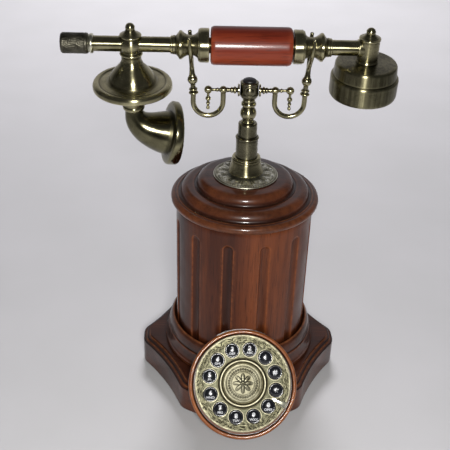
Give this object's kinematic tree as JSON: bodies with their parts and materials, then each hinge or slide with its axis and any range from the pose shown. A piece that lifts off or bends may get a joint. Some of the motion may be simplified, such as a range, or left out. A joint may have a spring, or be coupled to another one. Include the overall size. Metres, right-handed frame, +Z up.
{
  "type": "cradle telephone",
  "caption": "Desk telephone with a fluted wooden column on a hexagonal plinth, a tilted push-button dial and a brass handset resting across a sprung two-armed cradle.",
  "frame": {"origin": "on the column's axis at table level, under the rubber feet", "axes": "+Z up along the column's axis, -Y out of the side the dial faces, +X to the right as seen from the dial's side, towards the receiver"},
  "size_m": [0.2621, 0.1952, 0.3245],
  "materials": {
    "case_wood": "semi-gloss lacquered dark mahogany",
    "grip_wood": "high-gloss lacquered red-brown wood",
    "brass": "brushed antique brass",
    "dark_brass": "darkened antique brass",
    "steel": "plain zinc-plated steel",
    "black_plastic": "satin black",
    "key_plastic": "gloss black with white legends",
    "rubber": "matt",
    "board": "green circuit board"
  },
  "bodies": {
    "base": {"plinth": "case_wood", "skirt_ring": "case_wood", "column": "case_wood", "column_cap": "case_wood", "bottom_cover": "black_plastic", "foot_1": "rubber", "foot_2": "rubber", "foot_3": "rubber", "foot_4": "rubber", "stem_flange": "dark_brass", "stem_foot": "brass", "stem_tube": "dark_brass", "main_board": "board", "ringer": "black_plastic", "line_jack": "black_plastic", "handset_jack": "black_plastic", "switch_bracket": "steel", "hook_switch": "black_plastic", "dial_housing": "case_wood", "dial_plate": "brass", "dial_medallion": "brass", "finger_stop": "brass", "key_mat": "rubber", "dial_board": "board", "return_spring": "steel"},
    "cradle": {"hook_plunger": "steel", "cradle_baluster": "brass", "cradle_head": "dark_brass", "head_cap": "black_plastic", "arm_left": "brass", "arm_right": "brass", "fork_left": "brass", "fork_right": "brass"},
    "handset": {"handset_tube": "brass", "end_knob": "dark_brass", "tee_left": "brass", "tee_right": "brass", "transmitter_bell": "brass", "transmitter_base": "brass", "transmitter_capsule": "black_plastic", "horn": "brass", "receiver_shell": "brass", "receiver_cap": "brass", "receiver_capsule": "black_plastic", "ferrule_right": "brass", "ferrule_left": "brass", "grip": "grip_wood"},
    "key_2_cap": {"key_2": "key_plastic"},
    "key_1_cap": {"key_1": "key_plastic"},
    "key_hash_cap": {"key_hash": "key_plastic"},
    "key_star_cap": {"key_star": "key_plastic"},
    "key_0_cap": {"key_0": "key_plastic"},
    "key_9_cap": {"key_9": "key_plastic"},
    "key_8_cap": {"key_8": "key_plastic"},
    "key_7_cap": {"key_7": "key_plastic"},
    "key_6_cap": {"key_6": "key_plastic"},
    "key_5_cap": {"key_5": "key_plastic"},
    "key_4_cap": {"key_4": "key_plastic"},
    "key_3_cap": {"key_3": "key_plastic"}
  },
  "joints": [
    {"name": "cradle_slide", "type": "slide", "parent": "base", "child": "cradle", "axis": [0, 0, 1], "range_m": [0, 0.005], "stiffness_N_per_m": 200, "springref_m": 0.013, "deforming": ["return_spring"]},
    {"name": "handset_lift", "type": "slide", "parent": "cradle", "child": "handset", "axis": [0, 0, 1], "range_m": [0, 0.12]},
    {"name": "press_2", "type": "slide", "parent": "base", "child": "key_2_cap", "axis": [0, 0.7848, -0.6198], "range_m": [0, 0.0015], "stiffness_N_per_m": 300, "springref_m": -0.001},
    {"name": "press_1", "type": "slide", "parent": "base", "child": "key_1_cap", "axis": [0, 0.7848, -0.6198], "range_m": [0, 0.0015], "stiffness_N_per_m": 300, "springref_m": -0.001},
    {"name": "press_hash", "type": "slide", "parent": "base", "child": "key_hash_cap", "axis": [0, 0.7848, -0.6198], "range_m": [0, 0.0015], "stiffness_N_per_m": 300, "springref_m": -0.001},
    {"name": "press_star", "type": "slide", "parent": "base", "child": "key_star_cap", "axis": [0, 0.7848, -0.6198], "range_m": [0, 0.0015], "stiffness_N_per_m": 300, "springref_m": -0.001},
    {"name": "press_0", "type": "slide", "parent": "base", "child": "key_0_cap", "axis": [0, 0.7848, -0.6198], "range_m": [0, 0.0015], "stiffness_N_per_m": 300, "springref_m": -0.001},
    {"name": "press_9", "type": "slide", "parent": "base", "child": "key_9_cap", "axis": [0, 0.7848, -0.6198], "range_m": [0, 0.0015], "stiffness_N_per_m": 300, "springref_m": -0.001},
    {"name": "press_8", "type": "slide", "parent": "base", "child": "key_8_cap", "axis": [0, 0.7848, -0.6198], "range_m": [0, 0.0015], "stiffness_N_per_m": 300, "springref_m": -0.001},
    {"name": "press_7", "type": "slide", "parent": "base", "child": "key_7_cap", "axis": [0, 0.7848, -0.6198], "range_m": [0, 0.0015], "stiffness_N_per_m": 300, "springref_m": -0.001},
    {"name": "press_6", "type": "slide", "parent": "base", "child": "key_6_cap", "axis": [0, 0.7848, -0.6198], "range_m": [0, 0.0015], "stiffness_N_per_m": 300, "springref_m": -0.001},
    {"name": "press_5", "type": "slide", "parent": "base", "child": "key_5_cap", "axis": [0, 0.7848, -0.6198], "range_m": [0, 0.0015], "stiffness_N_per_m": 300, "springref_m": -0.001},
    {"name": "press_4", "type": "slide", "parent": "base", "child": "key_4_cap", "axis": [0, 0.7848, -0.6198], "range_m": [0, 0.0015], "stiffness_N_per_m": 300, "springref_m": -0.001},
    {"name": "press_3", "type": "slide", "parent": "base", "child": "key_3_cap", "axis": [0, 0.7848, -0.6198], "range_m": [0, 0.0015], "stiffness_N_per_m": 300, "springref_m": -0.001}
  ]
}
